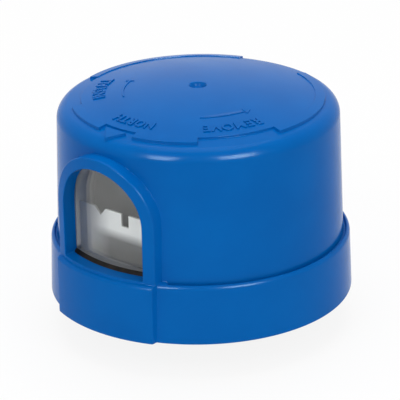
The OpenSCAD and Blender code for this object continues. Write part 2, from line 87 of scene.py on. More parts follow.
SHOULDER_R = SKIRT_R - SKIRT_TAPER
CAP_R = SHOULDER_R - LEDGE_W
CAP_TOP_R = CAP_R - CAP_TAPER
Z_ROUND = Z_SHOULDER - SHOULDER_ROUND
Z_LOW = Z_RIM + RIM_EDGE

# Raised disc, finger tabs and dimple on the domed top
DISC_R = 30.4
DISC_STEP = 0.5
TAB_R = 33.0
TAB_STEP = 0.25
FINGER_TABS = [(-38.5, -8.5), (10.5, 40.5), (79, 161), (199, 281)]
STEP_WIDTH = 0.12
DIMPLE_R = 1.95
DIMPLE_WALL = 1.1
DIMPLE_DEPTH = 1.3

DOME_R = (TAB_R ** 2 + DOME_FALL ** 2) / (2 * DOME_FALL)
Z_DOME = Z_CROWN - DISC_STEP - DOME_R
EDGE_R = CAP_TOP_R - TOP_EDGE_R
Z_EDGE = Z_DOME + math.sqrt((DOME_R - TOP_EDGE_R) ** 2 - EDGE_R ** 2)
EDGE_TURN = 90 - math.degrees(math.asin(EDGE_R / (DOME_R - TOP_EDGE_R)))

# Window frame, panel and opening
FRAME_R = 40.2
FRAME_ARCH_R = 16.3
PANEL_R = -cover_box[0].y / MM
PANEL_ROUND = 1.0
PANEL_TURN = 78
PANEL_CREASE = 0.12
Z_PANEL = 13.8
ARCH_R = 13.3
Z_ARCH = 28.8
Z_SILL = 14.6
SILL_CORNER = 0.5
ROOT_FILLET = 0.1
FRONT_EDGE = 0.4
OPENING_EDGE = 0.3
LENS_SEAT_R = 36.25
LENS_LAP = 1.25

# Inside of the cover
WALL = 2.2
Z_INNER_SHOULDER = Z_SHOULDER - WALL
Z_BASE = 3.0
Z_BASE_TOP = 6.0
RIB_COUNT = 8
RIB_W = 1.6
RIB_DEPTH = 1.6
RIB_ROOT = 0.5
BEAD_R = 0.45
BEAD_ANGLES = (45, 135, 225, 315)
BEAD_SPAN = 24
BEAD_GAP = 0.05

# Fineness of the cover's mesh. The surfaces round the window are patches between two angles
COLUMN_STEP = 2.5
INNER_STEP = 5.0
PATCH_ANGLE = 27.5
INNER_PATCH_ANGLE = 30.0
PATCH_TOP_TURN = 26
LEDGE_STEPS = 8
FACE_STEPS = 12
BEZIER_STEPS = 5
BEAD_SIDES = 16
CROWN_GAP = 0.4
# Spare points on the front face
FACE_SPARE_X = 16
FACE_SPARE_STEP = 1.6
FACE_SPARE_LIFT = 1.4
# Heights between which the rows of the window frame's sides lie close together
SIDE_FINE_Z = (Z_ROUND - 0.6, Z_SILL + 0.4)
# Columns this near a finger tab's end give way to finer ones, which lie at shares of a step's
# width, as the rows across a step do. Those across the dimple's wall lie at shares of its width
TAB_END_SPAN = 1.2
TAB_END_COLUMNS = np.array([-0.8, -0.5, -0.25, 0, 0.25, 0.5, 0.8])
STEP_ROWS = np.array([1.2, 0.5, 0.38, 0.25, 0.12, 0, -0.12, -0.25, -0.38, -0.5, -1.2])
DIMPLE_ROWS = np.array([0.8, 0.5, 0.4, 0.3, 0.15, 0, -0.15, -0.3, -0.4, -0.5, -1])
# Points this close are welded or count as one, and spare points keep a gap from the loops
WELD = 0.002
SAME_POINT = 1e-6
FILL_GAP = 0.12
FILL_TOLERANCE = 1e-7
# Out of the window
FORWARD = np.array([0, -1, 0])


# Sections of turned surfaces

def line(start, end, steps=1, side=1):
    """Straight stretch of a section: radius, height and normal, outside on the right if side is 1."""
    (r0, z0), (r1, z1) = start, end
    length = math.hypot(r1 - r0, z1 - z0)
    normal = (side * (z1 - z0) / length, -side * (r1 - r0) / length)
    share = np.linspace(0, 1, steps + 1)
    return np.column_stack([
        r0 + share * (r1 - r0), z0 + share * (z1 - z0),
        np.full(steps + 1, normal[0]), np.full(steps + 1, normal[1]),
    ])


def arc(centre, radius, start, end, steps, side=1):
    """Round stretch of a section between two angles, hollow if side is -1."""
    turn = np.radians(np.linspace(start, end, steps + 1))
    return np.column_stack([
        centre[0] + radius * np.cos(turn), centre[1] + radius * np.sin(turn),
        side * np.cos(turn), side * np.sin(turn),
    ])


def spun(r, z, nr, nz, angle):
    """Points and normals of a section's rows, turned to angles from the window."""
    across, along = np.sin(np.radians(angle)), -np.cos(np.radians(angle))
    points = np.stack(np.broadcast_arrays(r * across, r * along, z), -1)
    normals = np.stack(np.broadcast_arrays(nr * across, nr * along, nz), -1)
    return points, normals


class Section:
    """Half section of a surface turned round the axis, with the length along it."""

    def __init__(self, *stretches):
        rows = np.concatenate(stretches)
        moved = np.hypot(np.diff(rows[:, 0]), np.diff(rows[:, 1]))
        rows = rows[np.r_[True, moved > SAME_POINT]]
        self.r, self.z, self.nr, self.nz = rows.T
        self.s = np.r_[0, np.cumsum(np.hypot(np.diff(self.r), np.diff(self.z)))]

    def at(self, s):
        return [np.interp(s, self.s, column) for column in (self.r, self.z, self.nr, self.nz)]

    def length_at(self, z):
        return np.interp(z, self.z, self.s)

    def turned(self, s, angle):
        """Points and normals at lengths s and angles from the window."""
        return spun(*self.at(s), angle)

    def on_front(self, x, z):
        """Points and normals of the front half at x and a height."""
        s = self.length_at(z)
        angle = np.degrees(np.arcsin(x / self.at(s)[0]))
        return self.turned(s, angle)


def outer_section(grooved):
    """From the rim's edge over the skirt's shoulder and up the cap into its top edge.

    It has as many rows with the groove at the cap's foot as without it.
    """
    skirt_low_r = SKIRT_R - SKIRT_TAPER * RIM_EDGE / (Z_ROUND - Z_RIM)
    round_centre = (SHOULDER_R - SHOULDER_ROUND, Z_ROUND)
    turn = math.radians(SHOULDER_TURN)
    nr, nz = math.cos(turn), math.sin(turn)
    ledge_out = (round_centre[0] + SHOULDER_ROUND * nr, round_centre[1] + SHOULDER_ROUND * nz)
    wall_lean = math.degrees(math.atan(CAP_TAPER / (Z_EDGE - Z_ROUND)))
    fillet_r = CAP_R - CAP_TAPER * (Z_SHOULDER - Z_ROUND) / (Z_EDGE - Z_ROUND) + LEDGE_FILLET
    run = (ledge_out[0] + LEDGE_FILLET * nr - fillet_r) / nz
    ledge_in = (ledge_out[0] - run * nz, ledge_out[1] + run * nr)
    fillet = (ledge_in[0] + LEDGE_FILLET * nr, ledge_in[1] + LEDGE_FILLET * nz)
    shoulder = arc(round_centre, SHOULDER_ROUND, 0, SHOULDER_TURN, steps=10)
    ledge = line(ledge_out, ledge_in, LEDGE_STEPS)
    wall_foot = arc(fillet, LEDGE_FILLET, SHOULDER_TURN + 180, 180 + wall_lean, steps=5, side=-1)
    if grooved:
        groove = (CAP_R + GROOVE_R, Z_GROOVE + GROOVE_R)
        lip_r, lip_reach = groove[0] + GROOVE_R + LIP_R, SHOULDER_ROUND - LIP_R
        lip_turn = math.acos((lip_r - round_centre[0]) / lip_reach)
        lip = (lip_r, Z_ROUND + lip_reach * math.sin(lip_turn))
        shoulder = arc(round_centre, SHOULDER_ROUND, 0, math.degrees(lip_turn), steps=10)
        over = arc(lip, LIP_R, math.degrees(lip_turn), 180, steps=LEDGE_STEPS - 2)
        down = line(over[-1, :2], (over[-1, 0], groove[1]), steps=2)
        ledge = np.concatenate([over, down])
        wall_foot = arc(groove, GROOVE_R, 360, 180 + wall_lean, steps=5, side=-1)
    top_edge = arc((EDGE_R, Z_EDGE), TOP_EDGE_R, wall_lean, PATCH_TOP_TURN, steps=4)
    return Section(
        line((skirt_low_r, Z_LOW), (SHOULDER_R, Z_ROUND), steps=5),
        shoulder,
        ledge,
        wall_foot,
        line(wall_foot[-1, :2], top_edge[0, :2], steps=10),
        top_edge,
    )


def face_section():
    """Front of the panel, rounded over at its top, and the window frame's face above it."""
    round_centre = (PANEL_R - PANEL_ROUND, Z_PANEL - PANEL_ROUND)
    rounding = arc(round_centre, PANEL_ROUND, 0, PANEL_TURN, steps=9)
    crease_centre = (FRAME_R + PANEL_CREASE, Z_PANEL + PANEL_CREASE / 2 + PANEL_CREASE)
    hollow = arc(crease_centre, PANEL_CREASE, 180 + PANEL_TURN, 180, steps=4, side=-1)
    return Section(
        line((PANEL_R, Z_LOW), rounding[0, :2], steps=4),
        rounding,
        hollow,
        line(hollow[-1, :2], (FRAME_R, Z_CROWN), steps=FACE_STEPS),
    )


def inner_cap_section():
    """Inside of the cap's wall, from its shoulder up to the rounded top."""
    low, high = (CAP_R - WALL, Z_INNER_SHOULDER), (CAP_TOP_R - WALL, Z_EDGE)
    return Section(line(low, high, steps=10, side=-1))


def inner_skirt_r(z):
    """Inside radius of the skirt at a height."""
    return SKIRT_R - WALL - SKIRT_TAPER * (z - Z_RIM) / (Z_SHOULDER - Z_RIM)


# Domed top

def smooth_step(distance, width=STEP_WIDTH):
    """0 before an edge and 1 after it, rounded off over the width."""
    t = np.clip(distance / width + 0.5, 0, 1)
    return t * t * (3 - 2 * t)


def wrapped(angle):
    """The same angle between -180 and 180 degrees."""
    return (angle + 180) % 360 - 180


def tab_share(r, angle):
    """1 on a finger tab and 0 between the tabs."""
    share = 0
    for first, last in FINGER_TABS:
        middle, half = (first + last) / 2, (last - first) / 2
        away = np.abs(wrapped(angle - middle))
        share = share + smooth_step(np.radians(half - away) * r)
    return share


def plain_dome(r):
    """Height of the dome under its disc and tabs."""
    return Z_DOME + np.sqrt(DOME_R ** 2 - r ** 2)


def dome_height(r, angle):
    """Height of the domed top with its disc, tabs and dimple."""
    tab = tab_share(np.maximum(r, DISC_R / 2), angle)
    past_disc, past_tab = smooth_step(r - DISC_R), smooth_step(r - TAB_R)
    lift_disc = DISC_STEP * (1 - past_disc)
    lift_tab = DISC_STEP + TAB_STEP * past_disc - (DISC_STEP + TAB_STEP) * past_tab
    dimple = DIMPLE_DEPTH * smooth_step(DIMPLE_R - r, DIMPLE_WALL)
    return plain_dome(r) + (1 - tab) * lift_disc + tab * lift_tab - dimple


def dome_points(r, angle):
    """Points and normals of the domed top, from the heights a short reach to each side."""
    reach, least_r = 0.01, 0.5
    turn = np.degrees(reach / np.maximum(r, least_r))
    rise = (dome_height(r + reach, angle) - dome_height(np.abs(r - reach), angle)) / (2 * reach)
    tilt = (dome_height(r, angle + turn) - dome_height(r, angle - turn)) / (2 * reach)
    sin, cos = np.sin(np.radians(angle)), np.cos(np.radians(angle))
    points = np.stack(np.broadcast_arrays(r * sin, -r * cos, dome_height(r, angle)), -1)
    normals = np.stack(np.broadcast_arrays(
        -rise * sin - tilt * cos, rise * cos - tilt * sin, 1.0
    ), -1)
    return points, normals / np.linalg.norm(normals, axis=-1, keepdims=True)


# Meshes with a normal at each corner

def placed(name, data):
    """New object of the scene with its data."""
    new = bpy.data.objects.new(name, data)
    bpy.context.scene.collection.objects.link(new)
    return new


class Skin:
    """Faces in millimetres, each patch with normals of its own, welded where they meet."""

    def __init__(self):
        self.points, self.normals, self.faces = [], [], []
        self.count = 0

    def add(self, points, normals, faces):
        points = np.asarray(points, float).reshape(-1, 3)
        self.points.append(points)
        self.normals.append(np.asarray(normals, float).reshape(-1, 3))
        self.faces += [[self.count + i for i in face] for face in faces]
        self.count += len(points)

    def grid(self, points, normals, closed=False):
        """Quads over rows and columns of points."""
        rows, columns = points.shape[:2]
        steps = range(columns if closed else columns - 1)
        faces = []
        for i in range(rows - 1):
            low, high = i * columns, (i + 1) * columns
            for j in steps:
                k = (j + 1) % columns
                faces.append((low + j, low + k, high + k, high + j))
        self.add(points, normals, faces)

    def fan(self, rim, centre, rim_normals, centre_normal):
        """Triangles from a closed ring to a point."""
        count = len(rim)
        faces = [(i, (i + 1) % count, count) for i in range(count)]
        self.add(np.vstack([rim, centre]), np.vstack([rim_normals, centre_normal]), faces)

    def build(self, name):
        """Piece of all the patches, each face turned to the side of its normals."""
        points, normals = np.concatenate(self.points), np.concatenate(self.normals)
        tree = kdtree.KDTree(len(points))
        for i, point in enumerate(points):
            tree.insert(point, i)
        tree.balance()
        first = [min(i for _, i, _ in tree.find_range(point, WELD)) for point in points]
        place = {index: k for k, index in enumerate(sorted(set(first)))}
        faces, corner_normals = [], []
        for face in self.faces:
            corners = [i for k, i in enumerate(face) if first[i] != first[face[k - 1]]]
            if len(corners) < 3:
                continue
            a, b, c = points[corners[:3]]
            if np.cross(b - a, c - a) @ normals[corners].sum(0) < 0:
                corners.reverse()
            faces.append([place[first[i]] for i in corners])
            corner_normals += [normals[i] for i in corners]
        mesh = bpy.data.meshes.new(name)
        mesh.from_pydata((points[sorted(place)] * MM).tolist(), [], faces)
        mesh.polygons.foreach_set("use_smooth", [True] * len(mesh.polygons))
        mesh.normals_split_custom_set([Vector(n) for n in corner_normals])
        return placed(name, mesh)


def inside(points, loops):
    """Whether each flat point lies inside an odd number of closed loops."""
    odd = np.zeros(len(points), bool)
    for loop in loops:
        for (x0, y0), (x1, y1) in zip(loop, np.roll(loop, -1, axis=0)):
            if y0 != y1:
                crossing = x0 + (points[:, 1] - y0) * (x1 - x0) / (y1 - y0)
                odd ^= ((y0 > points[:, 1]) != (y1 > points[:, 1])) & (points[:, 0] < crossing)
    return odd


def clear_of(points, loops, gap):
    """Whether each flat point keeps a gap from the loops."""
    clear = np.ones(len(points), bool)
    for loop in loops:
        for start, end in zip(loop, np.roll(loop, -1, axis=0)):
            way = end - start
            share = np.clip((points - start) @ way / max(way @ way, SAME_POINT ** 2), 0, 1)
            clear &= np.linalg.norm(points - start - share[:, None] * way, axis=1) > gap
    return clear


def fill(loops, spare=()):
    """Triangles between closed flat loops, through those spare points that lie inside."""
    loops = [np.asarray(loop, float) for loop in loops]
    spare = np.asarray(spare, float).reshape(-1, 2)
    if len(spare):
        spare = spare[inside(spare, loops) & clear_of(spare, loops, FILL_GAP)]
    edges, start = [], 0
    for loop in loops:
        count = len(loop)
        edges += [(start + i, start + (i + 1) % count) for i in range(count)]
        start += count
    flat = [Vector(p) for p in np.vstack(loops + [spare])]
    points, _, triangles, *_ = geometry.delaunay_2d_cdt(flat, edges, [], 0, FILL_TOLERANCE)
    points = np.array([tuple(p) for p in points])
    middles = points[np.array(triangles)].mean(axis=1)
    kept = [t for t, inner in zip(triangles, inside(middles, loops)) if inner]
    return points, kept


def fill_turned(skin, section, loops, spare=()):
    """Adds the patch of a turned surface between loops of angles and lengths along its section."""
    stretch = np.array([math.radians(CAP_R), 1])
    spare = np.asarray(spare, float).reshape(-1, 2)
    flat, triangles = fill([loop * stretch for loop in loops], spare * stretch)
    skin.add(*section.turned(flat[:, 1], flat[:, 0] / stretch[0]), triangles)


def pairs(us, vs):
    """Flat points of two rows of places, one of which may be a single place."""
    return np.column_stack(np.broadcast_arrays(us, vs))


def grid_points(us, vs):
    """Flat points at each crossing of two rows of places."""
    return np.stack(np.meshgrid(us, vs), -1).reshape(-1, 2)


def bezier(start, corner, end):
    """Rows of a rounded corner, and the direction across it at each row."""
    t = np.linspace(0, 1, BEZIER_STEPS + 1)[:, None, None]
    rows = (1 - t) ** 2 * start + 2 * t * (1 - t) * corner + t ** 2 * end
    across = 2 * (1 - t) * (corner - start) + 2 * t * (end - corner)
    return rows, across


def swept_normals(rows, across, outward):
    """Normals of rows that run side by side, on the side of the outward direction."""
    normals = np.cross(np.gradient(rows, axis=1), across)
    normals /= np.linalg.norm(normals, axis=-1, keepdims=True)
    return normals * np.sign((normals * outward).sum(-1, keepdims=True))


# The cover

def arch_outline(radius, heights, steps=48):
    """Outline of an arch from its right foot over to its left foot: x, z and outward normal."""
    turn = np.radians(np.linspace(0, 180, steps + 1))
    straight = np.ones(len(heights))
    nx = np.r_[straight, np.cos(turn), -straight]
    nz = np.r_[0 * straight, np.sin(turn), 0 * straight]
    x = radius * nx
    z = np.r_[heights, Z_ARCH + radius * np.sin(turn), heights[::-1]]
    return x, z, nx, nz


def opening_outline(side_steps=8, sill_steps=14, corner_steps=5, arch_steps=48):
    """Closed outline of the window opening, and of the lens seat behind it: x, z and normal."""
    inner_x, inner_z = ARCH_R - SILL_CORNER, Z_SILL + SILL_CORNER
    rows = []
    for turn in np.radians(np.linspace(0, 180, arch_steps + 1)):
        rows.append((0, Z_ARCH, ARCH_R, math.cos(turn), math.sin(turn), LENS_LAP + ARCH_R))
    for z in np.linspace(Z_ARCH, inner_z, side_steps + 1)[1:-1]:
        rows.append((-inner_x, z, SILL_CORNER, -1, 0, LENS_LAP + SILL_CORNER))
    for corner in (180, 270):
        centre_x = inner_x if corner == 270 else -inner_x
        for turn in np.radians(np.linspace(corner, corner + 90, corner_steps + 1)):
            cos, sin = math.cos(turn), math.sin(turn)
            reach = (LENS_LAP + SILL_CORNER) / max(abs(cos), abs(sin))
            rows.append((centre_x, inner_z, SILL_CORNER, cos, sin, reach))
        if corner == 180:
            for x in np.linspace(-inner_x, inner_x, sill_steps + 1)[1:-1]:
                rows.append((x, inner_z, SILL_CORNER, 0, -1, LENS_LAP + SILL_CORNER))
    for z in np.linspace(inner_z, Z_ARCH, side_steps + 1)[1:-1]:
        rows.append((inner_x, z, SILL_CORNER, 1, 0, LENS_LAP + SILL_CORNER))
    centre_x, centre_z, reach, nx, nz, seat = np.array(rows).T
    return (centre_x + reach * nx, centre_z + reach * nz, nx, nz,
            centre_x + seat * nx, centre_z + seat * nz)


def columns():
    """Angles of the columns round the cover, closer together at the ends of tabs and groove."""
    ends = [end for tab in FINGER_TABS for end in tab]
    offsets = np.degrees(STEP_WIDTH * TAB_END_COLUMNS / TAB_R)
    fine = wrapped(np.concatenate([end + offsets for end in ends]))
    coarse = np.arange(-180, 180, COLUMN_STEP)
    near = [np.abs(wrapped(coarse - end)) < TAB_END_SPAN for end in ends]
    fade = PATCH_ANGLE + GROOVE_FADE * np.array([0.25, 0.5, 0.75, 1.0])
    return np.sort(np.r_[coarse[~np.any(near, axis=0)], fine, fade, -fade])


def grooved_wall(outer, angles):
    """Skirt and cap at angles past the window's patch, with the groove between them."""
    groove = outer_section(grooved=True)
    past_end = np.abs(wrapped(angles)) - PATCH_ANGLE
    share = smooth_step(past_end - GROOVE_FADE / 2, GROOVE_FADE)
    plain_rows = (outer.r, outer.z, outer.nr, outer.nz)
    groove_rows = (groove.r, groove.z, groove.nr, groove.nz)
    rows = [p[:, None] + (g - p)[:, None] * share for p, g in zip(plain_rows, groove_rows)]
    return spun(*rows, angles[None, :])


def add_outside(skin, outer, face):
    """Skirt, cap, window frame and panel. Returns the bottom outline and its normals."""
    angles = columns()
    around = np.sort(angles[np.abs(angles) >= PATCH_ANGLE] % 360)
    skin.grid(*grooved_wall(outer, around))

    fine = np.linspace(*SIDE_FINE_Z, num=24)
    below = np.linspace(Z_LOW, fine[0], num=5)[:-1]
    above = np.linspace(fine[-1], Z_ARCH, num=7)[1:-1]
    heights = np.r_[below, fine, above]
    x, z, nx, nz = arch_outline(FRAME_ARCH_R, heights)
    base, base_normals = outer.on_front(x + ROOT_FILLET * nx, z + ROOT_FILLET * nz)
    root, _ = outer.on_front(x, z)
    front, _ = face.on_front(x, z)
    edge, edge_normals = face.on_front(x - FRONT_EDGE * nx, z - FRONT_EDGE * nz)
    root_rows, root_across = bezier(base, root, root + ROOT_FILLET * FORWARD)
    edge_rows, edge_across = bezier(front - FRONT_EDGE * FORWARD, front, edge)
    outward = np.column_stack([nx, -np.ones_like(nx), nz])
    root_normals = swept_normals(root_rows, root_across, outward)
    front_normals = swept_normals(edge_rows, edge_across, outward)
    root_normals[0], front_normals[-1] = base_normals, edge_normals
    side_rows = np.concatenate([root_rows, edge_rows])
    side_normals = np.concatenate([root_normals, front_normals])
    skin.grid(side_rows, side_normals)

    base_angle = np.degrees(np.arctan2(base[:, 0], -base[:, 1]))
    foot_angles = np.linspace(base_angle[0], PATCH_ANGLE, num=4)[1:-1]
    loop = np.concatenate([
        pairs(base_angle, outer.length_at(base[:, 2])),
        pairs(-foot_angles, 0.0),
        pairs(-PATCH_ANGLE, outer.s),
        pairs(angles[np.abs(angles) < PATCH_ANGLE], outer.s[-1]),
        pairs(PATCH_ANGLE, outer.s[::-1]),
        pairs(foot_angles[::-1], 0.0),
    ])
    spare_angles = np.arange(COLUMN_STEP - PATCH_ANGLE, PATCH_ANGLE - COLUMN_STEP / 2, COLUMN_STEP)
    fill_turned(skin, outer, [loop], grid_points(spare_angles, outer.s[1:-1]))

    foot_x = np.linspace(-edge[0, 0], edge[0, 0], num=16)[1:-1]
    face_loop = np.concatenate([pairs(edge[:, 0], face.length_at(edge[:, 2])), pairs(foot_x, 0.0)])
    add_opening(skin, face, face_loop)

    bottom = [
        outer.turned(0.0, around),
        outer.turned(0.0, -foot_angles[::-1]),
        (side_rows[:, -1], side_normals[:, -1]),
        face.on_front(foot_x, np.full(len(foot_x), Z_LOW)),
        (side_rows[::-1, 0], side_normals[::-1, 0]),
        outer.turned(0.0, foot_angles),
    ]
    return (np.concatenate([points for points, _ in bottom]),
            np.concatenate([normals for _, normals in bottom]))


def on_lens_seat(x, z):
    """Points of the round seat behind the window."""
    return np.column_stack([x, -np.sqrt(LENS_SEAT_R ** 2 - x ** 2), z])


def add_opening(skin, face, face_loop):
    """Front face with the window opening, its reveal and the seat of the lens."""
    x, z, nx, nz, seat_x, seat_z = opening_outline()
    lip, lip_normals = face.on_front(x + OPENING_EDGE * nx, z + OPENING_EDGE * nz)
    corner, _ = face.on_front(x, z)
    rows, across = bezier(lip, corner, corner - OPENING_EDGE * FORWARD)
    inward = np.column_stack([-nx, -np.ones_like(nx), -nz])
    closed_rows = np.concatenate([rows[:, -1:], rows, rows[:, :1]], axis=1)
    closed_across = np.concatenate([across[:, -1:], across, across[:, :1]], axis=1)
    closed_inward = np.concatenate([inward[-1:], inward, inward[:1]])
    normals = swept_normals(closed_rows, closed_across, closed_inward)[:, 1:-1]
    normals[0] = lip_normals
    skin.grid(rows, normals, closed=True)

    reveal = np.stack([rows[-1], on_lens_seat(x, z)])
    skin.grid(reveal, np.stack([normals[-1], normals[-1]]), closed=True)
    flange = np.stack([on_lens_seat(x, z), on_lens_seat(seat_x, seat_z)])
    skin.grid(flange, flange * (-1, -1, 0) / LENS_SEAT_R, closed=True)

    lip_loop = pairs(lip[:, 0], face.length_at(lip[:, 2]))
    spare_x = np.arange(-FACE_SPARE_X, FACE_SPARE_X + 0.1, FACE_SPARE_STEP)
    spare_s = np.r_[face.s, face.s[-FACE_STEPS:-1] + FACE_SPARE_LIFT]
    flat, triangles = fill([face_loop, lip_loop], grid_points(spare_x, spare_s))
    s = flat[:, 1]
    angle = np.degrees(np.arcsin(flat[:, 0] / face.at(s)[0]))
    skin.add(*face.turned(s, angle), triangles)


def add_top(skin):
    """Top edge and domed top, with the raised disc, finger tabs and dimple."""
    angles = columns()
    edge = Section(arc((EDGE_R, Z_EDGE), TOP_EDGE_R, PATCH_TOP_TURN, EDGE_TURN, steps=8))
    skin.grid(*edge.turned(edge.s[:, None], angles[None, :]), closed=True)
    step, dimple = STEP_WIDTH * STEP_ROWS, DIMPLE_R + DIMPLE_WALL * DIMPLE_ROWS
    on_tabs, on_disc = (32.1, 31.3), np.linspace(29, 4.5, num=12)
    radii = np.r_[edge.r[-1], TAB_R + step, on_tabs, DISC_R + step, on_disc, dimple]
    points, normals = dome_points(radii[:, None], angles[None, :])
    skin.grid(points, normals, closed=True)
    crown = dome_points(np.array([SAME_POINT]), np.array([0.0]))[0]
    skin.fan(points[-1], crown, normals[-1], (0, 0, 1))


def add_inside(skin, outline, outline_normals):
    """Rim, inner walls, seat ribs and the beads that hold the base."""
    flat_normals = outline_normals * (1, 1, 0)
    flat_normals /= np.linalg.norm(flat_normals, axis=1, keepdims=True)
    down = np.array([0, 0, -1])
    turn = np.radians(np.linspace(0, 90, num=5))[:, None, None]
    rounded = outline - RIM_EDGE * ((1 - np.cos(turn)) * flat_normals - np.sin(turn) * down)
    skin.grid(rounded, np.cos(turn) * flat_normals + np.sin(turn) * down, closed=True)

    angles = np.arange(-180, 180, INNER_STEP)
    shoulder = (inner_skirt_r(Z_INNER_SHOULDER), Z_INNER_SHOULDER)
    skirt = Section(line((inner_skirt_r(Z_RIM), Z_RIM), shoulder, steps=3, side=-1))
    ledge = Section(line(shoulder, (CAP_R - WALL, Z_INNER_SHOULDER), side=-1))
    cap = inner_cap_section()
    for section in (skirt, ledge):
        skin.grid(*section.turned(section.s[:, None], angles[None, :]), closed=True)
    rim_ring = skirt.turned(0.0, angles)[0]
    flat, triangles = fill([rounded[-1, :, :2], rim_ring[:, :2]])
    rim = np.column_stack([flat, np.full(len(flat), Z_RIM)])
    skin.add(rim, np.tile(down, (len(flat), 1)), triangles)

    around = np.sort(angles[np.abs(angles) >= INNER_PATCH_ANGLE] % 360)
    skin.grid(*cap.turned(cap.s[:, None], around[None, :]))
    *_, seat_x, seat_z = opening_outline()
    pocket, _ = cap.on_front(seat_x, seat_z)
    middle = np.array([0, 0, Z_ARCH])
    pocket_rows = np.stack([on_lens_seat(seat_x, seat_z), pocket])
    skin.grid(pocket_rows, (middle - pocket_rows) * (1, 0, 1), closed=True)
    across = angles[np.abs(angles) <= INNER_PATCH_ANGLE]
    border = np.concatenate([
        pairs(across, 0.0),
        pairs(INNER_PATCH_ANGLE, cap.s[1:-1]),
        pairs(across[::-1], cap.s[-1]),
        pairs(-INNER_PATCH_ANGLE, cap.s[-2:0:-1]),
    ])
    pocket_angle = np.degrees(np.arctan2(pocket[:, 0], -pocket[:, 1]))
    hole = pairs(pocket_angle, cap.length_at(pocket[:, 2]))
    fill_turned(skin, cap, [border, hole])

    inner_dome_r = DOME_R - WALL
    edge_arc = arc((EDGE_R, Z_EDGE), TOP_EDGE_R - WALL, 0, EDGE_TURN, steps=5, side=-1)
    dome_arc = arc((0, Z_DOME), inner_dome_r, EDGE_TURN, 90 - CROWN_GAP, steps=10, side=-1)
    edge = Section(edge_arc, dome_arc)
    points, normals = edge.turned(edge.s[:, None], angles[None, :])
    skin.grid(points, normals, closed=True)
    skin.fan(points[-1], (0, 0, Z_DOME + inner_dome_r), normals[-1], (0, 0, -1))
    add_ribs_and_beads(skin)


def add_ribs_and_beads(skin):
    """Seat ribs above the base and round beads below its edge, rooted in the wall."""
    rib_r = inner_skirt_r(Z_BASE_TOP)
    corners = np.array([(x, y, z) for z in (0, 1) for y in (0, 1) for x in (0, 1)], float)
    sides = [(0, 1, 3, 2), (4, 5, 7, 6), (0, 1, 5, 4), (2, 3, 7, 6), (0, 2, 6, 4), (1, 3, 7, 5)]
    size = np.array([RIB_W, RIB_DEPTH + RIB_ROOT, Z_INNER_SHOULDER + RIB_ROOT - Z_BASE_TOP])
    low = np.array([-RIB_W / 2, -rib_r - RIB_ROOT, Z_BASE_TOP])
    for i in range(RIB_COUNT):
        turn = np.array(Matrix.Rotation(math.radians((i + 0.5) * 360 / RIB_COUNT), 3, "Z"))
        block = (low + corners * size) @ turn.T
        for side in sides:
            outward = block[list(side)].mean(0) - block.mean(0)
            outward /= np.linalg.norm(outward)
            skin.add(block[list(side)], np.tile(outward, (4, 1)), [(0, 1, 2, 3)])

    bead_centre = (inner_skirt_r(Z_BASE - BEAD_R), Z_BASE - BEAD_R - BEAD_GAP)
    bead = Section(arc(bead_centre, BEAD_R, 0, 360 - 360 / BEAD_SIDES, steps=BEAD_SIDES - 1))
    for middle in BEAD_ANGLES:
        angles = np.linspace(middle - BEAD_SPAN / 2, middle + BEAD_SPAN / 2, num=13)
        points, normals = bead.turned(bead.s[:, None], angles[None, :])
        skin.grid(np.concatenate([points, points[:1]]), np.concatenate([normals, normals[:1]]))
        for end, sign in ((0, -1), (-1, 1)):
            turn = math.radians(angles[end])
            flat = sign * np.array([math.cos(turn), math.sin(turn), 0])
            skin.add(points[:, end], np.tile(flat, (BEAD_SIDES, 1)), [range(BEAD_SIDES)])


def make_cover():
    """The whole moulding, outside and inside."""
    skin = Skin()
    outline, outline_normals = add_outside(skin, outer_section(grooved=False), face_section())
    add_top(skin)
    add_inside(skin, outline, outline_normals)
    return skin.build("moulded_cover")


cover = make_cover()
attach(cover, BODY)
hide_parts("cover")

# Raised marks on the top

MARK_HEIGHT = 0.34
MARK_BEVEL = 0.06
MARK_ROOT = 0.15
MARK_SHARP_ANGLE = 35
# Letters: their height as a share of the font's size, and how much bolder they are than the font's
LETTER_SHARE = 0.69
LETTER_BOLDER = 0.012
# Each word: the radii of its foot and top, and the angles from the window of its start and end
WORDS = [
    ("NORTH", (25.0, 28.1), (16, -10)),
    ("REMOVE", (25.0, 28.1), (77, 43.4)),
    ("INSTALL", (24.0, 27.35), (-41.5, -73.8)),
]
# Each arrow: the radius and the angle from the window of its tail and of its point
ARROWS = [((20.8, 20.6), (42, 81)), ((19.7, 18.95), (-35, -75.6))]
ARROW_HEIGHT = 0.22
ARROW_STROKE = 0.42
ARROW_HEAD_W = 2.4
ARROW_HEAD_L = 1.9
POINTER_BASE_R = 31.8
POINTER_W = 6.8
POINTER_L = 3.9
POINTER_ROOT = 2.2
POINTER_BEVEL = 0.12


def curve_mesh(data):
    """Mesh of a filled curve or a word."""
    holder = placed(data.name, data)
    shaped = holder.evaluated_get(bpy.context.evaluated_depsgraph_get())
    mesh = bpy.data.meshes.new_from_object(shaped)
    bpy.data.objects.remove(holder)
    bpy.data.curves.remove(data)
    return mesh


def thicken(data, scale, low, high, bevel):
    """Gives a flat curve its thickness. Returns the middle height of that thickness."""
    data.extrude = (high - low) / 2 / scale - bevel / scale
    data.bevel_depth = bevel / scale
    data.bevel_resolution = 2
    return (high + low) / 2


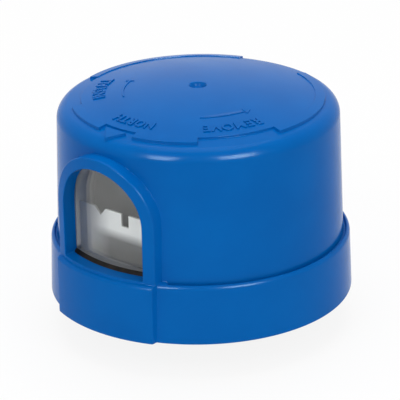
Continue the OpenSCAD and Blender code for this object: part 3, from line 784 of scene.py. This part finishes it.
def word_mesh(text, radii, angles):
    """Word set round the axis, with the tops of its letters outward."""
    data = bpy.data.curves.new(text, "FONT")
    data.body = text
    data.resolution_u = 4
    data.space_character = 1.1
    data.offset = LETTER_BOLDER
    height = radii[1] - radii[0]
    scale = height / LETTER_SHARE
    middle = thicken(data, scale, -MARK_ROOT, MARK_HEIGHT, MARK_BEVEL)
    mesh = curve_mesh(data)
    co = np.array([v.co for v in mesh.vertices])
    low, high = co.min(0), co.max(0)
    share = (co[:, 0] - low[0]) / (high[0] - low[0])
    angle = angles[0] + share * (angles[1] - angles[0])
    r = radii[0] + (co[:, 1] - low[1]) / (high[1] - low[1]) * height
    return raised(mesh, r, angle, DISC_STEP + middle + co[:, 2] * scale)


def outline_mesh(name, r, angle, low, high, bevel):
    """Plate with an outline given by radii and angles from the window."""
    along = np.radians(angle) * TAB_R
    data = bpy.data.curves.new(name, "CURVE")
    data.dimensions = "2D"
    data.fill_mode = "BOTH"
    data.offset = -bevel
    middle = thicken(data, 1, low, high, bevel)
    spline = data.splines.new("POLY")
    spline.points.add(len(r) - 1)
    for point, u, v in zip(spline.points, along, r):
        point.co = (u, v, 0, 1)
    spline.use_cyclic_u = True
    mesh = curve_mesh(data)
    co = np.array([v.co for v in mesh.vertices])
    return raised(mesh, co[:, 1], np.degrees(co[:, 0] / TAB_R), middle + co[:, 2])


def raised(mesh, r, angle, height):
    """Moves a mesh's points to heights above the plain dome."""
    turn = np.radians(angle)
    points = np.column_stack([r * np.sin(turn), -r * np.cos(turn), plain_dome(r) + height]) * MM
    mesh.vertices.foreach_set("co", points.ravel())
    mesh.update()
    return mesh


def arrow_mesh(name, radii, angles):
    """Arrow bent round the axis from its tail to the point of its head."""
    (tail_r, head_r), (tail, head) = radii, angles
    sense = math.copysign(1, head - tail)
    neck = head - sense * math.degrees(ARROW_HEAD_L / head_r)
    along, middle = np.linspace(tail, neck, num=16), np.linspace(tail_r, head_r, num=16)
    half, wide = ARROW_STROKE / 2, ARROW_HEAD_W / 2
    angle = np.r_[along, neck, head, neck, along[::-1]]
    radius = np.r_[middle + half, head_r + wide, head_r, head_r - wide, middle[::-1] - half]
    low, high = DISC_STEP - MARK_ROOT, DISC_STEP + ARROW_HEIGHT
    return outline_mesh(name, radius, angle, low, high, MARK_BEVEL)


def pointer_mesh():
    """North pointer over the top edge, above the window."""
    half = math.degrees(POINTER_W / 2 / POINTER_BASE_R)
    radius = np.array([POINTER_BASE_R, POINTER_BASE_R + POINTER_L, POINTER_BASE_R])
    angle = np.array([-half, 0, half])
    top = DISC_STEP + TAB_STEP
    return outline_mesh("pointer", radius, angle, top - POINTER_ROOT, top, POINTER_BEVEL)


def joined(name, meshes):
    """One piece of several meshes, with its edges kept crisp."""
    points, faces = [], []
    for mesh in meshes:
        start = len(points)
        points += [tuple(v.co) for v in mesh.vertices]
        faces += [[start + i for i in p.vertices] for p in mesh.polygons]
        bpy.data.meshes.remove(mesh)
    data = bpy.data.meshes.new(name)
    data.from_pydata(points, [], faces)
    data.polygons.foreach_set("use_smooth", [True] * len(faces))
    data.set_sharp_from_angle(angle=math.radians(MARK_SHARP_ANGLE))
    return placed(name, data)


marks = [
    joined("raised_words", [word_mesh(*word) for word in WORDS]),
    joined("turning_arrows", [arrow_mesh(f"arrow_{i}", *arrow) for i, arrow in enumerate(ARROWS)]),
    joined("north_pointer", [pointer_mesh()]),
]
for mark in marks:
    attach(mark, BODY)


# Materials

# The shutter plate's colour holds a painted reflection: dark below the first height and bright above
# the second. From the first place to the second, it takes on an even painted tone at its -X end, in
# place of the light and shade there
PLATE_DARK_REFLECTION_Z = 20.0
PLATE_BRIGHT_REFLECTION_Z = 22.7
PLATE_EVEN_X = -3.5
PLATE_END_X = -9.5
PLATE_END_PAINTED_TONE = 0.38
# The light box's colour holds painted shade: dark at its back, turning to its pale grey over a
# distance from there, in full above the second height and by a share of that below the first, so that
# its floor stays darker
BOX_SHADED_Z = 14.9
BOX_LIT_Z = 15.7
BOX_SHADE_FADE = 6.5
BOX_FLOOR_SHADE = 0.3


def linear(code):
    """Scene-linear colour of a hex sRGB code."""
    values = [int(code[i:i + 2], 16) / 255 for i in (1, 3, 5)]
    return [v / 12.92 if v <= 0.04045 else ((v + 0.055) / 1.055) ** 2.4 for v in values] + [1]


def mix_surface(tree, factor, first, second):
    """Makes a material's surface pass from one shader to another by a factor."""
    mix = tree.nodes.new("ShaderNodeMixShader")
    for source, socket in zip((factor, first, second), mix.inputs):
        tree.links.new(source, socket)
    tree.links.new(mix.outputs["Shader"], tree.nodes["Material Output"].inputs["Surface"])


class Paint:
    """A material whose shader is fed by procedural textures laid in the part's own frame."""

    def __init__(self, name, **sockets):
        self.material = bpy.data.materials.new(name)
        self.material.use_nodes = True
        self.tree = self.material.node_tree
        self.shader = self.tree.nodes["Principled BSDF"]
        self.place = self.tree.nodes.new("ShaderNodeTexCoord").outputs["Object"]
        for socket, value in sockets.items():
            self.shader.inputs[socket.replace("_", " ")].default_value = value

    def node(self, kind, **inputs):
        node = self.tree.nodes.new(kind)
        for socket, value in inputs.items():
            node.inputs[socket].default_value = value
        return node

    def link(self, source, target):
        self.tree.links.new(source, target)

    def noise(self, size, stretch=(1, 1, 1), detail=3.0):
        """Noise with features of a size in millimetres, longer along an axis by its stretch."""
        mapping = self.node("ShaderNodeMapping")
        mapping.inputs["Scale"].default_value = [1 / s for s in stretch]
        noise = self.node("ShaderNodeTexNoise", Scale=1 / (size * MM), Detail=detail)
        self.link(self.place, mapping.inputs["Vector"])
        self.link(mapping.outputs["Vector"], noise.inputs["Vector"])
        return noise.outputs["Fac"]

    def along(self, axis, start, end, low=0.0):
        """Rises from low to 1 between two places along an axis."""
        place = self.node("ShaderNodeSeparateXYZ")
        share = self.node("ShaderNodeMapRange")
        share.inputs["From Min"].default_value = start * MM
        share.inputs["From Max"].default_value = end * MM
        share.inputs["To Min"].default_value = low
        self.link(self.place, place.inputs["Vector"])
        self.link(place.outputs[axis], share.inputs["Value"])
        return share.outputs["Result"]

    def colour(self, source, dark, light, spread=(0.35, 0.65)):
        ramp = self.node("ShaderNodeValToRGB")
        for stop, place, code in zip(ramp.color_ramp.elements, spread, (dark, light)):
            stop.position = place
            stop.color = linear(code)
        self.link(source, ramp.inputs["Fac"])
        self.link(ramp.outputs["Color"], self.shader.inputs["Base Color"])
        return self

    def roughness(self, source, low, high):
        span = self.node("ShaderNodeMapRange")
        for socket, value in zip(("From Min", "From Max", "To Min", "To Max"), (0.3, 0.7, low, high)):
            span.inputs[socket].default_value = value
        self.link(source, span.inputs["Value"])
        self.link(span.outputs["Result"], self.shader.inputs["Roughness"])
        return self

    def relief(self, source, depth):
        """Bump whose full height is a depth in millimetres."""
        bump = self.node("ShaderNodeBump", Distance=depth * MM)
        self.link(source, bump.inputs["Height"])
        self.link(bump.outputs["Normal"], self.shader.inputs["Normal"])
        return self


def moulded(name, dark, light, roughness=(0.45, 0.6), drift=6.0, grain=0.35, depth=0.006, **sockets):
    """Moulded plastic with a faint drift of shade and a fine moulded grain."""
    paint = Paint(name, **sockets)
    shade = paint.noise(drift)
    paint.colour(shade, dark, light)
    paint.roughness(paint.noise(drift / 3), *roughness)
    return paint.relief(paint.noise(grain), depth).material


def metal(name, dark, light, roughness, drift=3.0, stretch=(1, 1, 1), depth=0.0005, **sockets):
    """Bare or plated metal with smudges and fine drawing marks along the stretched axis."""
    paint = Paint(name, Metallic=1.0, **sockets)
    paint.colour(paint.noise(drift), dark, light)
    paint.roughness(paint.noise(drift / 2), *roughness)
    return paint.relief(paint.noise(drift / 8, stretch), depth).material


def lens_material():
    """Clear plastic with a faint moulding haze, which lets the lamps' light through."""
    paint = Paint("clear_lens", Transmission_Weight=1.0, IOR=1.49)
    haze = paint.noise(7.0)
    paint.colour(haze, "#eef1f1", "#f8fafa")
    paint.roughness(haze, 0.02, 0.06)
    shadow_ray = paint.node("ShaderNodeLightPath").outputs["Is Shadow Ray"]
    clear = paint.node("ShaderNodeBsdfTransparent").outputs["BSDF"]
    mix_surface(paint.tree, shadow_ray, paint.shader.outputs["BSDF"], clear)
    return paint.material


def box_material():
    """Pale grey moulding with painted shade: dark at the back and on the floor, pale towards the
    lens.
    """
    paint = Paint("grey_moulding")
    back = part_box("light_box")[1].y / MM
    # Painted shade: the pale share falls to nothing at the back and is cut to a share on the floor
    pale = paint.node("ShaderNodeMath")
    pale.operation = "MULTIPLY"
    paint.link(paint.along("Z", BOX_SHADED_Z, BOX_LIT_Z, BOX_FLOOR_SHADE), pale.inputs[0])
    paint.link(paint.along("Y", back, back - BOX_SHADE_FADE), pale.inputs[1])
    paint.colour(pale.outputs["Value"], "#20201e", "#f2f1ee", (0, 1))
    paint.roughness(paint.noise(3.0), 0.45, 0.6)
    return paint.relief(paint.noise(0.35), 0.006).material


def plate_material():
    """Tinned sheet with a painted reflection: bright along its notched top, dark below, and an even
    painted tone at its -X end.
    """
    paint = Paint("tinned_sheet", Metallic=0.6)
    # Painted reflection and painted light: this tone sets the plate's brightness by height and at its
    # -X end
    tone = paint.node("ShaderNodeMix")
    factor, middle, end = tone.inputs[0], tone.inputs[2], tone.inputs[3]
    end.default_value = PLATE_END_PAINTED_TONE
    paint.link(paint.along("X", PLATE_EVEN_X, PLATE_END_X), factor)
    paint.link(paint.along("Z", PLATE_DARK_REFLECTION_Z, PLATE_BRIGHT_REFLECTION_Z), middle)
    paint.colour(tone.outputs[0], "#737372", "#fafaf9", (0, 1))
    paint.roughness(paint.noise(2.5), 0.4, 0.46)
    return paint.relief(paint.noise(0.6), 0.0002).material


def foam_material():
    """Closed-cell foam rubber with fine pores."""
    paint = Paint("gasket_foam")
    pores = paint.node("ShaderNodeTexVoronoi", Scale=1 / (0.5 * MM))
    paint.link(paint.place, pores.inputs["Vector"])
    paint.colour(pores.outputs["Distance"], "#1d1d1f", "#323235", (0.1, 0.7))
    paint.roughness(paint.noise(3.0), 0.8, 0.95)
    return paint.relief(pores.outputs["Distance"], 0.08).material


def sensor_material():
    """Light-sensitive face: a winding track between two electrodes on ceramic."""
    paint = Paint("sensor_ceramic", Coat_Weight=0.6)
    wave = paint.node("ShaderNodeTexWave", Scale=1 / (1.6 * MM), Distortion=2.0)
    paint.link(paint.place, wave.inputs["Vector"])
    paint.colour(wave.outputs["Fac"], "#7d3a22", "#d2b187", (0.42, 0.58))
    return paint.roughness(paint.noise(2.0), 0.3, 0.45).material


def laminate_material():
    """Green solder mask over copper runs."""
    paint = Paint("board_laminate")
    runs = paint.node("ShaderNodeTexVoronoi", Scale=1 / (6.0 * MM))
    runs.distance = "MANHATTAN"
    paint.link(paint.place, runs.inputs["Vector"])
    paint.colour(runs.outputs["Distance"], "#2f7a44", "#23582f", (0.38, 0.42))
    paint.roughness(paint.noise(3.0), 0.3, 0.45)
    return paint.relief(runs.outputs["Distance"], 0.03).material


def banded_material(name, coat, band):
    """Painted component with colour bands along its length."""
    paint = Paint(name)
    wave = paint.node("ShaderNodeTexWave", Scale=1 / (9.0 * MM))
    paint.link(paint.place, wave.inputs["Vector"])
    paint.colour(wave.outputs["Fac"], band, coat, (0.06, 0.12))
    return paint.roughness(paint.noise(1.5), 0.35, 0.5).material


MATERIALS = {
    "cover_blue": moulded("cover_blue", "#005dab", "#0061b0", roughness=(0.16, 0.22), drift=14.0,
                          grain=0.5, depth=0.0008, Specular_IOR_Level=0.045),
    "clear_lens": lens_material(),
    "grey_moulding": box_material(),
    "seal_bead": moulded("seal_bead", "#0e0c0a", "#221d18", drift=3.0, Specular_IOR_Level=0.15),
    "tinned_sheet": plate_material(),
    "sensor_ceramic": sensor_material(),
    "tinned_wire": metal("tinned_wire", "#b4b5b6", "#cfd0d0", (0.25, 0.4)),
    "base_moulding": moulded("base_moulding", "#37393c", "#434649", grain=0.25),
    "gasket_foam": foam_material(),
    "blade_brass": metal("blade_brass", "#c0954a", "#d3ad60", (0.3, 0.4), stretch=(1, 1, 12)),
    "board_laminate": laminate_material(),
    "screw_steel": metal("screw_steel", "#aeb0b3", "#c9cbcd", (0.25, 0.4), drift=1.5),
    "relay_case": moulded("relay_case", "#232529", "#2c2e33"),
    "film_case": moulded("film_case", "#9c3b2b", "#ad4734"),
    "can_sleeve": moulded("can_sleeve", "#28374f", "#324463", roughness=(0.25, 0.35)),
    "varistor_coating": moulded("varistor_coating", "#2a5892", "#3768a4", roughness=(0.3, 0.45)),
    "diode_moulding": banded_material("diode_moulding", "#1c1c1e", "#c4c5c6"),
    "resistor_coating": banded_material("resistor_coating", "#c6b48c", "#7a3b24"),
    "diode_glass": banded_material("diode_glass", "#b65a2e", "#20201f"),
}

NODE_SLOTS = {
    "window_lens": "clear_lens", "lens_seal": "seal_bead", "light_box": "grey_moulding",
    "shutter_plate": "tinned_sheet", "photocell": "sensor_ceramic", "photocell_leads": "tinned_wire",
    "base_plate": "base_moulding", "gasket": "gasket_foam", "line_blade": "blade_brass",
    "load_blade": "blade_brass",
    "neutral_blade": "blade_brass", "circuit_board": "board_laminate", "board_screws": "screw_steel",
    "relay": "relay_case", "film_capacitor": "film_case", "smoothing_capacitor": "can_sleeve",
    "surge_varistor": "varistor_coating", "rectifier_diodes": "diode_moulding",
    "dropper_resistor": "resistor_coating", "bias_resistors": "resistor_coating",
    "zener_diode": "diode_glass", "switch_transistor": "diode_moulding",
}


def dress(piece, slot):
    piece.data.materials.clear()
    piece.data.materials.append(MATERIALS[slot])


blue_pieces = [cover] + marks
for piece in blue_pieces:
    dress(piece, "cover_blue")
for node, slot in NODE_SLOTS.items():
    dress(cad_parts[node], slot)

# Stage, light and camera

FLOOR_SIZE = 6.0
FLOOR_WHITE = 0.9
FLOOR_GLOW = 0.88
AMBIENT = 0.5
LAMP_DISTANCE = 0.9
# Each lamp: azimuth and elevation seen from the object, width and height in metres, and the
# share of full light that it gives a surface facing it
LAMPS = {
    "left_softbox": (9, 38, 0.5, 0.4, 0.18),
    "right_softbox": (74, 38, 0.5, 0.4, 0.18),
    "top_softbox": (220, 80, 0.7, 0.7, 0.52),
}
# Panels that show only as highlights on gloss, with their brightness in place of the share
GLINT_TINT = (0.72, 1.0, 1.1)
GLINTS = {
    "left_glint": (11, 26, 0.3, 0.36, 56),
    "right_glint": (72, 27, 0.38, 0.36, 68),
}
# Camera at the photograph's viewing angle, with its distance and aim in millimetres
CAMERA_AZIMUTH = 41.0
CAMERA_ELEVATION = 22.593
CAMERA_DISTANCE = 676.5
CAMERA_ROLL = -1.129
CAMERA_AIM = (0, 0, 21.08)
CAMERA_FOCAL_PIXELS = 2566.0
IMAGE_PIXELS = 400
SENSOR_MM = 36.0


def direction(azimuth, elevation):
    """Unit vector towards an azimuth, measured from the window, and an elevation."""
    a, e = math.radians(azimuth), math.radians(elevation)
    return Vector((math.sin(a) * math.cos(e), -math.cos(a) * math.cos(e), math.sin(e)))


def seen_ray(tree):
    """1 for rays that show the stage itself: those from the camera, by gloss or through glass."""
    path = tree.nodes.new("ShaderNodeLightPath")
    total = path.outputs["Is Camera Ray"]
    for kind in ("Is Glossy Ray", "Is Transmission Ray"):
        either = tree.nodes.new("ShaderNodeMath")
        either.operation = "MAXIMUM"
        tree.links.new(total, either.inputs[0])
        tree.links.new(path.outputs[kind], either.inputs[1])
        total = either.outputs["Value"]
    return total


def make_floor():
    """White floor that takes the shadow and glows for the rays that show it."""
    half = FLOOR_SIZE / 2
    z = cad_box[0].z
    mesh = bpy.data.meshes.new("floor")
    corners = [(-half, -half, z), (half, -half, z), (half, half, z), (-half, half, z)]
    mesh.from_pydata(corners, [], [(0, 1, 2, 3)])
    floor = placed("floor", mesh)
    material = bpy.data.materials.new("floor_white")
    material.use_nodes = True
    tree = material.node_tree
    shader = tree.nodes["Principled BSDF"]
    shader.inputs["Base Color"].default_value = (FLOOR_WHITE, FLOOR_WHITE, FLOOR_WHITE, 1)
    shader.inputs["Roughness"].default_value = 0.9
    shader.inputs["Specular IOR Level"].default_value = 0.0
    glow = tree.nodes.new("ShaderNodeEmission").outputs["Emission"]
    share = tree.nodes.new("ShaderNodeMath")
    share.operation = "MULTIPLY"
    share.inputs[1].default_value = FLOOR_GLOW
    tree.links.new(seen_ray(tree), share.inputs[0])
    mix_surface(tree, share.outputs["Value"], shader.outputs["BSDF"], glow)
    mesh.materials.append(material)


def make_world():
    """White surroundings, dimmer as a source of light than they look."""
    world = bpy.data.worlds.new("studio")
    bpy.context.scene.world = world
    world.use_nodes = True
    tree = world.node_tree
    background = tree.nodes["Background"]
    background.inputs["Color"].default_value = (1, 1, 1, 1)
    level = tree.nodes.new("ShaderNodeMapRange")
    level.inputs["To Min"].default_value = AMBIENT
    level.inputs["To Max"].default_value = 1.0
    tree.links.new(seen_ray(tree), level.inputs["Value"])
    tree.links.new(level.outputs["Result"], background.inputs["Strength"])


def make_lamp(name, azimuth, elevation, width, height, energy):
    """Rectangular lamp that faces the origin."""
    data = bpy.data.lights.new(name, "AREA")
    data.shape = "RECTANGLE"
    data.size, data.size_y = width, height
    data.energy = energy
    lamp = placed(name, data)
    towards = direction(azimuth, elevation)
    place = Matrix.Translation(towards * LAMP_DISTANCE)
    lamp.matrix_world = place @ towards.to_track_quat("Z", "Y").to_matrix().to_4x4()
    return lamp


def make_camera():
    aim = Vector(CAMERA_AIM) * MM
    towards = direction(CAMERA_AZIMUTH, CAMERA_ELEVATION)
    data = bpy.data.cameras.new("camera")
    data.sensor_width = SENSOR_MM
    data.lens = CAMERA_FOCAL_PIXELS * SENSOR_MM / IMAGE_PIXELS
    camera = placed("camera", data)
    facing = towards.to_track_quat("Z", "Y").to_matrix().to_4x4()
    roll = Matrix.Rotation(math.radians(CAMERA_ROLL), 4, "Z")
    camera.matrix_world = Matrix.Translation(aim + towards * CAMERA_DISTANCE * MM) @ facing @ roll
    bpy.context.scene.camera = camera


bpy.context.scene.view_settings.view_transform = "Standard"
make_floor()
make_world()
for lamp_name, (*facts, share) in LAMPS.items():
    make_lamp(lamp_name, *facts, share * (math.pi * LAMP_DISTANCE) ** 2)
glossy_pieces = bpy.data.collections.new("glossy_pieces")
for piece in blue_pieces:
    glossy_pieces.objects.link(piece)
for lamp_name, (*facts, brightness) in GLINTS.items():
    width, height = facts[2:]
    glint = make_lamp(lamp_name, *facts, brightness * math.pi * width * height)
    glint.data.color = GLINT_TINT
    glint.visible_diffuse = False
    glint.light_linking.receiver_collection = glossy_pieces
make_camera()
